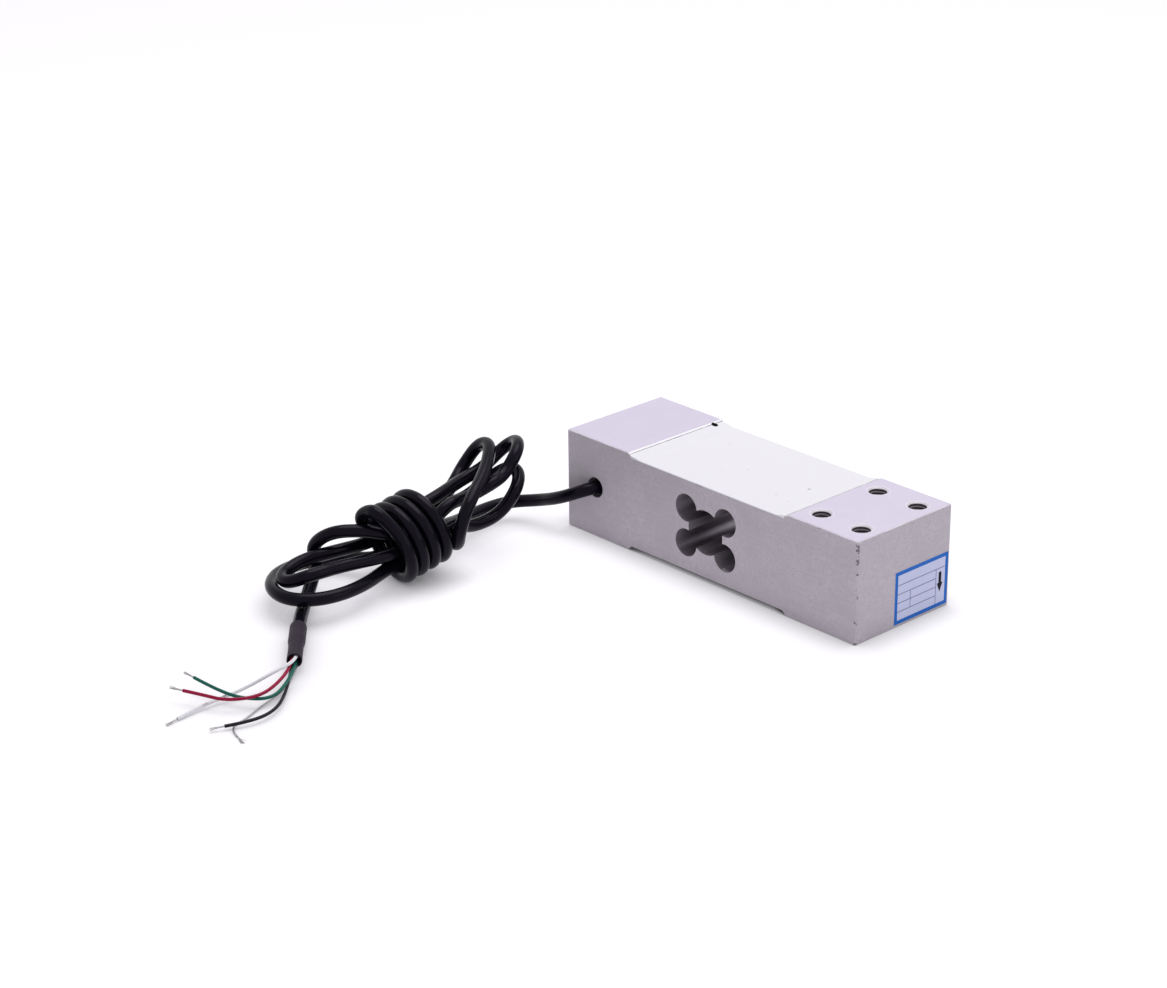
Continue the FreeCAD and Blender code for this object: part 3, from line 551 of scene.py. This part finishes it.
def slice_at(axis, values):
    """Cuts the mesh in edit mode across an axis; nothing is taken away."""
    for value in values:
        bpy.ops.mesh.select_all(action="SELECT")
        bpy.ops.mesh.bisect(plane_co=AXES[axis] * value, plane_no=AXES[axis])


def stand(thing, slot, *nodes):
    """The piece rides on the block and stands for those CAD nodes; the slot is not used."""
    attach(thing, "root")
    if nodes:
        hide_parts(*nodes)
    return thing


def cord_curve(name, points, diameter, material):
    """A round cord on a curve through the route's legs."""
    data = bpy.data.curves.new(name, "CURVE")
    data.dimensions = "3D"
    spline = data.splines.new("NURBS")
    spline.points.add(len(points) - 1)
    for point, place in zip(spline.points, points):
        point.co = (*(Vector(place) * MM), 1)
    spline.order_u = 3
    spline.use_endpoint_u = True
    spline.resolution_u = 14
    data.bevel_depth = diameter / 2
    data.bevel_resolution = 7
    data.use_fill_caps = True
    data.materials.append(material)
    thing = bpy.data.objects.new(name, data)
    collection().objects.link(thing)
    return thing


def run(points):
    """Length of the curve that those points draw, in metres."""
    places = [Vector(p) * MM for p in points]
    middles = [places[0]] + [(a + b) / 2 for a, b in zip(places[1:], places[2:-1])] + [places[-1]]
    total, steps = 0.0, 16
    for start, bend, end in zip(middles, places[1:-1], middles[1:]):
        last = start
        for i in range(1, steps + 1):
            t = i / steps
            here = start * (1 - t) ** 2 + bend * 2 * t * (1 - t) + end * t**2
            total += (here - last).length
            last = here
    return total


# ---------------------------------------------------------------------- operators
class LOADCELL_OT_block(bpy.types.Operator):
    """Finish of the machined block"""

    bl_idname = "load_cell.block"
    bl_label = "Block"

    def execute(self, context):
        dress_node("load_cell_body", metal_material())
        return {"FINISHED"}


class LOADCELL_OT_potting(bpy.types.Operator):
    """White silicone in both recesses"""

    bl_idname = "load_cell.potting"
    bl_label = "Potting"

    def execute(self, context):
        material = silicone_material()
        for name in ("top_sealant", "bottom_sealant"):
            dress_node(name, material)
        return {"FINISHED"}


class LOADCELL_OT_gauges(bpy.types.Operator):
    """Finishes of the gauges, boards and wires under the silicone"""

    bl_idname = "load_cell.gauges"
    bl_label = "Gauges"

    def execute(self, context):
        film = plastic_material("amber_film", (0.42, 0.20, 0.04), 0.25)
        foil = plain_metal("constantan_foil", (0.56, 0.50, 0.44))
        enamel = plain_metal("enamelled_copper", (0.60, 0.24, 0.09))
        board = plastic_material("circuit_board", (0.02, 0.14, 0.05), 0.3)
        chip = plastic_material("resistor_body", (0.02, 0.02, 0.025), 0.4)
        wire = plastic_material("board_wires", (0.55, 0.53, 0.50), 0.4)
        wrap = plastic_material("core_wrap", (0.45, 0.45, 0.46), 0.5)
        for name in NODES:
            if name.startswith("gauge_carrier"):
                dress_node(name, film)
            elif name.startswith("gauge_foil"):
                dress_node(name, foil)
            elif name.startswith("gauge_leads") or name == "link_wires":
                dress_node(name, enamel)
            elif name.endswith("_board"):
                dress_node(name, board)
            elif name.endswith("_resistor"):
                dress_node(name, chip)
        dress_node("board_wires", wire)
        dress_node("cable_core", wrap)
        dress_node("stripped_core", wrap)
        dress_node("cable_grommet", plastic_material("grommet_rubber", (0.015, 0.015, 0.017), 0.55))
        return {"FINISHED"}


class LOADCELL_OT_label(bpy.types.Operator):
    """Label with its printed border, rules and arrow, and no words"""

    bl_idname = "load_cell.label"
    bl_label = "Label"

    # Millimetres: heights of the rules, then places across the label and the arrow's sizes.
    rules = (16.3, 12.75, 9.35, 5.9)
    rule_width = 0.34
    divider, short_divider, arrow_place = 17.75, 3.9, 19.95
    shaft_width, shaft_low, shaft_top = 1.5, 10.2, 14.8
    head_width, head_length, head_overlap = 3.2, 3.7, 0.3

    def execute(self, context):
        low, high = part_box("rating_label")
        bpy.ops.object.select_all(action="DESELECT")
        bpy.ops.mesh.primitive_cube_add(size=1, location=(low + high) / 2)
        label = named("rating_label_print")
        label.scale = high - low
        bake_place(label)
        border, side = sizes().border, self.rule_width / 2 * MM
        left, right = low.y + border, high.y - border
        foot, top = low.z + border, high.z - border
        rules = [z * MM for z in self.rules]
        divider, short = self.divider * MM, self.short_divider * MM
        arrow, shaft = self.arrow_place * MM, self.shaft_width / 2 * MM
        shaft_low, shaft_top = self.shaft_low * MM, self.shaft_top * MM
        bpy.ops.object.mode_set(mode="EDIT")
        slice_at("y", [left, right, divider - side, divider + side, short - side, short + side])
        slice_at("y", [arrow - shaft, arrow + shaft])
        slice_at("z", [foot, top] + [z + d for z in rules for d in (-side, side)])
        slice_at("z", [shaft_low, shaft_top])
        bpy.ops.object.mode_set(mode="OBJECT")
        paper, frame_blue, ink, rule = range(4)
        film = plastic_material("label_film", tuple(colours().film), 0.28, 3000, 0.000004)
        blue = plastic_material("label_blue", tuple(colours().print_blue), 0.4, 3000, 0.000004, 0.2)
        black = plastic_material("label_ink", (0.004, 0.004, 0.008), 0.5, 3000, 0.000004, 0.1)
        grey = plastic_material("label_rules", (0.14, 0.16, 0.30), 0.4, 3000, 0.000004)
        for material in (film, blue, black, grey):
            label.data.materials.append(material)
        for face in label.data.polygons:
            y, z = face.center.y, face.center.z
            on_rule = any(abs(z - line) < side for line in rules)
            on_rule = on_rule and (y < divider or z > rules[0] - side)
            on_rule = on_rule or (abs(y - divider) < side and z < rules[0])
            on_rule = on_rule or (abs(y - short) < side and rules[3] < z < rules[1])
            if face.normal.x < 0.5:
                face.material_index = paper
            elif not (left < y < right and foot < z < top):
                face.material_index = frame_blue
            elif abs(y - arrow) < shaft and shaft_low < z < shaft_top:
                face.material_index = ink
            elif on_rule:
                face.material_index = rule
        stand(label, "label", "rating_label")
        self.arrow_head(high.x, black)
        return {"FINISHED"}

    def arrow_head(self, face, ink):
        """A flat triangle that points down, just over the label's face."""
        middle = self.shaft_low + self.head_overlap - self.head_length / 3
        bpy.ops.object.select_all(action="DESELECT")
        bpy.ops.mesh.primitive_circle_add(
            vertices=3,
            radius=1,
            fill_type="NGON",
            location=(face + 0.01 * MM, self.arrow_place * MM, middle * MM),
            rotation=(-math.pi / 2, 0, math.pi / 2),
        )
        head = named("label_arrow_head")
        head.scale = (self.head_width * MM / 3**0.5, self.head_length * MM / 1.5, 1)
        bake_place(head)
        bpy.ops.object.mode_set(mode="EDIT")
        bpy.ops.mesh.select_all(action="SELECT")
        bpy.ops.mesh.flip_normals()
        bpy.ops.object.mode_set(mode="OBJECT")
        head.data.materials.append(ink)
        stand(head, "label")


class LOADCELL_OT_cable(bpy.types.Operator):
    """Signal cable, tied in a hank, and its heat-shrink sleeve"""

    bl_idname = "load_cell.cable"
    bl_label = "Cable"

    def execute(self, context):
        base = tuple(colours().jacket)
        jacket = plastic_material("cable_jacket", base, 0.2, 1800, 0.00004, 0.095)
        route = cable_route()
        cable = cord_curve("signal_cable", route, sizes().cable, jacket)
        stand(cable, "cable_jacket", "cable_lead", "cable_hank", "cable_tail")
        sleeve = self.sleeve()
        run(route)
        return {"FINISHED"}

    def sleeve(self):
        """A thin tube, shrunk on the cable and pinched over the jacket's end."""
        end, along = end_of(FREE_TAIL)
        bpy.ops.object.select_all(action="DESELECT")
        bpy.ops.mesh.primitive_cylinder_add(
            vertices=40,
            radius=SLEEVE_RADIUS * MM,
            depth=SLEEVE_LENGTH * MM,
            end_fill_type="NOTHING",
        )
        sleeve = named("heat_shrink")
        bpy.ops.object.mode_set(mode="EDIT")
        slice_at("z", [step * MM for step in SLEEVE_CUTS])
        for step, factor in SLEEVE_SHRINK:
            pick_verts(sleeve, lambda vert, z=step * MM: abs(vert.co.z - z) < 0.05 * MM)
            bpy.ops.transform.resize(value=(factor, factor, 1), center_override=(0, 0, step * MM))
        bpy.ops.object.mode_set(mode="OBJECT")
        apply_modifier(sleeve, "SOLIDIFY", thickness=SLEEVE_WALL * MM, offset=-1.0)
        apply_modifier(sleeve, "BEVEL", width=0.12 * MM, segments=2, angle_limit=math.radians(50))
        aim(sleeve, end + along * (SLEEVE_LENGTH / 2 - SLEEVE_OVERLAP) * MM, along)
        bpy.ops.object.shade_smooth_by_angle(angle=math.radians(40))
        sleeve.data.materials.append(
            plastic_material("heat_shrink", tuple(colours().sleeve), 0.6, 1200, 0.00008, 0.12)
        )
        return stand(sleeve, "heat_shrink", "heat_shrink_sleeve")


class LOADCELL_OT_wires(bpy.types.Operator):
    """Coloured wires with bared strands, and the bare drain wire"""

    bl_idname = "load_cell.wires"
    bl_label = "Wires"

    def execute(self, context):
        strands = strand_material()
        for name, route in (
            ("red", RED_WIRE), ("green", GREEN_WIRE), ("white", WHITE_WIRE), ("black", BLACK_WIRE),
        ):
            base = tuple(getattr(colours(), name))
            material = plastic_material(f"{name}_insulation", base, gloss=0.2)
            wire = cord_curve(f"{name}_lead", route, sizes().wire, material)
            stand(wire, f"wire_{name}", f"{name}_wire")
            tips = self.tips(name, route, strands)
            run(route)
        drain = cord_curve("drain", DRAIN_WIRE, sizes().drain, strands)
        stand(drain, "tinned_copper", "drain_wire")
        tuft = self.tips("drain", DRAIN_WIRE, strands, 0.08, 0.14, 0.09)
        run(DRAIN_WIRE)
        return {"FINISHED"}

    def tips(self, name, route, material, strand=0.1, reach=0.21, spread=0.03):
        """Bared strands at the wire's end: one strand modelled and copied round the others."""
        end, along = end_of(route)
        bpy.ops.object.select_all(action="DESELECT")
        bpy.ops.mesh.primitive_cylinder_add(
            vertices=8,
            radius=strand * MM,
            depth=STRAND_LENGTH * MM,
            location=(0, 0, (STRAND_LENGTH / 2 - STRAND_ROOT) * MM),
        )
        first = named(f"{name}_strands")
        bake_place(first)
        bpy.ops.object.mode_set(mode="EDIT")
        slice_at("z", [cut * MM for cut in STRAND_CUTS])
        bpy.ops.object.mode_set(mode="OBJECT")
        copies = []
        for i in range(STRAND_COUNT):
            copy = first.copy()
            copy.data = first.data.copy()
            collection().objects.link(copy)
            self.splay(copy, i, len(name), reach, spread)
            copies.append(copy)
        alone(first)
        for copy in copies:
            copy.select_set(True)
        bpy.ops.object.join()
        tips = bpy.context.object
        aim(tips, end, along)
        for vertex in tips.data.vertices:
            vertex.co.z = max(vertex.co.z, STRAND_LOWEST * MM)
        bpy.ops.object.shade_smooth_by_angle(angle=math.radians(50))
        tips.data.materials.append(material)
        if f"{name}_conductor" in NODES:
            return stand(tips, "tinned_copper", f"{name}_conductor")
        return stand(tips, "tinned_copper")

    def splay(self, strand, place, variety, reach, spread):
        """Twists a strand round the middle one and lets it lean out past the insulation."""
        start = math.radians(360 / STRAND_COUNT * place + 17 * variety)
        lean = 0.02 + spread * ((place * 7 + variety * 3) % 5)
        for vertex in strand.data.vertices:
            out = reach * MM + max(0.0, vertex.co.z - STRAND_CUTS[0] * MM) * lean
            twist = start + vertex.co.z / MM * 0.25
            vertex.co.x += out * math.cos(twist)
            vertex.co.y += out * math.sin(twist)


class LOADCELL_OT_stage(bpy.types.Operator):
    """Pale floor, soft lamps, white surroundings and the camera"""

    bl_idname = "load_cell.stage"
    bl_label = "Stage"

    # The camera: its azimuth, elevation and roll in degrees, its place in metres, and its lens.
    camera_angles = (47.467, 22.899, -0.566)
    camera_place = (0.6766, -0.7065, 0.4413)
    camera_lens = 87.57

    def execute(self, context):
        self.floor()
        self.world(context.scene)
        above, right = (-0.10, 0.20, 1.10), (0.95, 0.35, 0.45)
        self.lamp("lamp_above", above, (-0.02, -0.05, 0), 9.6, 1.0, (1, 0.985, 1))
        self.lamp("lamp_right", right, (0.05, 0, 0.02), 0.9, 0.6, (1, 1, 1))
        self.camera(context.scene)
        context.scene.view_settings.view_transform = "Standard"
        return {"FINISHED"}

    def floor(self):
        """Pale and evenly bright from its own glow, with the object's shadow and a painted contact
        shade, a darker line where it stands.
        """
        bpy.ops.object.select_all(action="DESELECT")
        bpy.ops.mesh.primitive_plane_add(size=6, location=(0, 0, -0.02 * MM))
        floor = named("floor")
        bake_place(floor)
        m = Shader("floor_white", (0.30, 0.305, 0.29), 0.9, Specular_IOR_Level=0.1)
        m.bsdf.inputs["Emission Color"].default_value = (0.78, 0.76, 0.81, 1)
        # The glow fades close to the objects: painted contact shade.
        painted_contact_shade = m.node("ShaderNodeAmbientOcclusion", samples=8)
        painted_contact_shade.inputs["Distance"].default_value = 13 * MM
        m.set("Emission Strength", m.math("POWER", painted_contact_shade.outputs["AO"], 0.9))
        m.bump(m.noise(30, 2), 0.02, 0.0001)
        floor.data.materials.append(m.material)

    def world(self, scene):
        """White to the camera and in gloss and glass, dimmer as light on the object."""
        world = bpy.data.worlds.new("surroundings")
        scene.world = world
        world.use_nodes = True
        tree = world.node_tree
        tree.nodes.clear()
        paths = tree.nodes.new("ShaderNodeLightPath")
        seen = paths.outputs["Is Camera Ray"]
        for key in ("Is Glossy Ray", "Is Transmission Ray"):
            either = tree.nodes.new("ShaderNodeMath")
            either.operation = "MAXIMUM"
            tree.links.new(seen, either.inputs[0])
            tree.links.new(paths.outputs[key], either.inputs[1])
            seen = either.outputs[0]
        blend = tree.nodes.new("ShaderNodeMixShader")
        tree.links.new(seen, blend.inputs[0])
        for index, tint, strength in ((1, (0.97, 0.96, 1.0), 0.38), (2, (1, 1, 1), 1.0)):
            light = tree.nodes.new("ShaderNodeBackground")
            light.inputs["Color"].default_value = (*tint, 1)
            light.inputs["Strength"].default_value = strength
            tree.links.new(light.outputs[0], blend.inputs[index])
        out = tree.nodes.new("ShaderNodeOutputWorld")
        tree.links.new(blend.outputs[0], out.inputs["Surface"])

    def lamp(self, name, place, target, power, wide, tint):
        data = bpy.data.lights.new(name, "AREA")
        data.shape = "DISK"
        data.size = wide
        data.energy = power
        data.color = tint
        lamp = bpy.data.objects.new(name, data)
        collection().objects.link(lamp)
        lamp.location = place
        down = Vector(target) - Vector(place)
        lamp.rotation_euler = down.to_track_quat("-Z", "Y").to_euler()
        lamp.visible_camera = False

    def camera(self, scene):
        azimuth, elevation, roll = (math.radians(angle) for angle in self.camera_angles)
        right = Vector((math.cos(azimuth), math.sin(azimuth), 0))
        back = Vector((
            math.sin(azimuth) * math.cos(elevation),
            -math.cos(azimuth) * math.cos(elevation),
            math.sin(elevation),
        ))
        up = back.cross(right)
        across = right * math.cos(roll) + up * math.sin(roll)
        upright = up * math.cos(roll) - right * math.sin(roll)
        data = bpy.data.cameras.new("camera")
        data.sensor_width = 36
        data.lens = self.camera_lens
        data.clip_start = 0.01
        camera = bpy.data.objects.new("camera", data)
        collection().objects.link(camera)
        turn = Matrix((across, upright, back)).transposed().to_4x4()
        camera.matrix_world = Matrix.Translation(self.camera_place) @ turn
        scene.camera = camera


OPERATORS = (
    LOADCELL_OT_block,
    LOADCELL_OT_potting,
    LOADCELL_OT_gauges,
    LOADCELL_OT_label,
    LOADCELL_OT_cable,
    LOADCELL_OT_wires,
    LOADCELL_OT_stage,
)


class LOADCELL_PT_panel(bpy.types.Panel):
    """Sizes, colours and steps of the load cell's looks"""

    bl_idname = "LOADCELL_PT_panel"
    bl_label = "Load Cell"
    bl_space_type = "VIEW_3D"
    bl_region_type = "UI"
    bl_category = "Load Cell"

    def draw(self, context):
        for group in (context.scene.load_cell_sizes, context.scene.load_cell_colours):
            for name in group.__annotations__:
                self.layout.prop(group, name)
        for operator in OPERATORS:
            self.layout.operator(operator.bl_idname)


CLASSES = (LoadCellSizes, LoadCellColours, *OPERATORS, LOADCELL_PT_panel)


def register():
    for kind in CLASSES:
        bpy.utils.register_class(kind)
    bpy.types.Scene.load_cell_sizes = PointerProperty(type=LoadCellSizes)
    bpy.types.Scene.load_cell_colours = PointerProperty(type=LoadCellColours)


def unregister():
    del bpy.types.Scene.load_cell_colours
    del bpy.types.Scene.load_cell_sizes
    for kind in reversed(CLASSES):
        bpy.utils.unregister_class(kind)


def main():
    register()
    for operator in OPERATORS:
        group, step = operator.bl_idname.split(".")
        getattr(getattr(bpy.ops, group), step)()


if __name__ == "__main__":
    main()
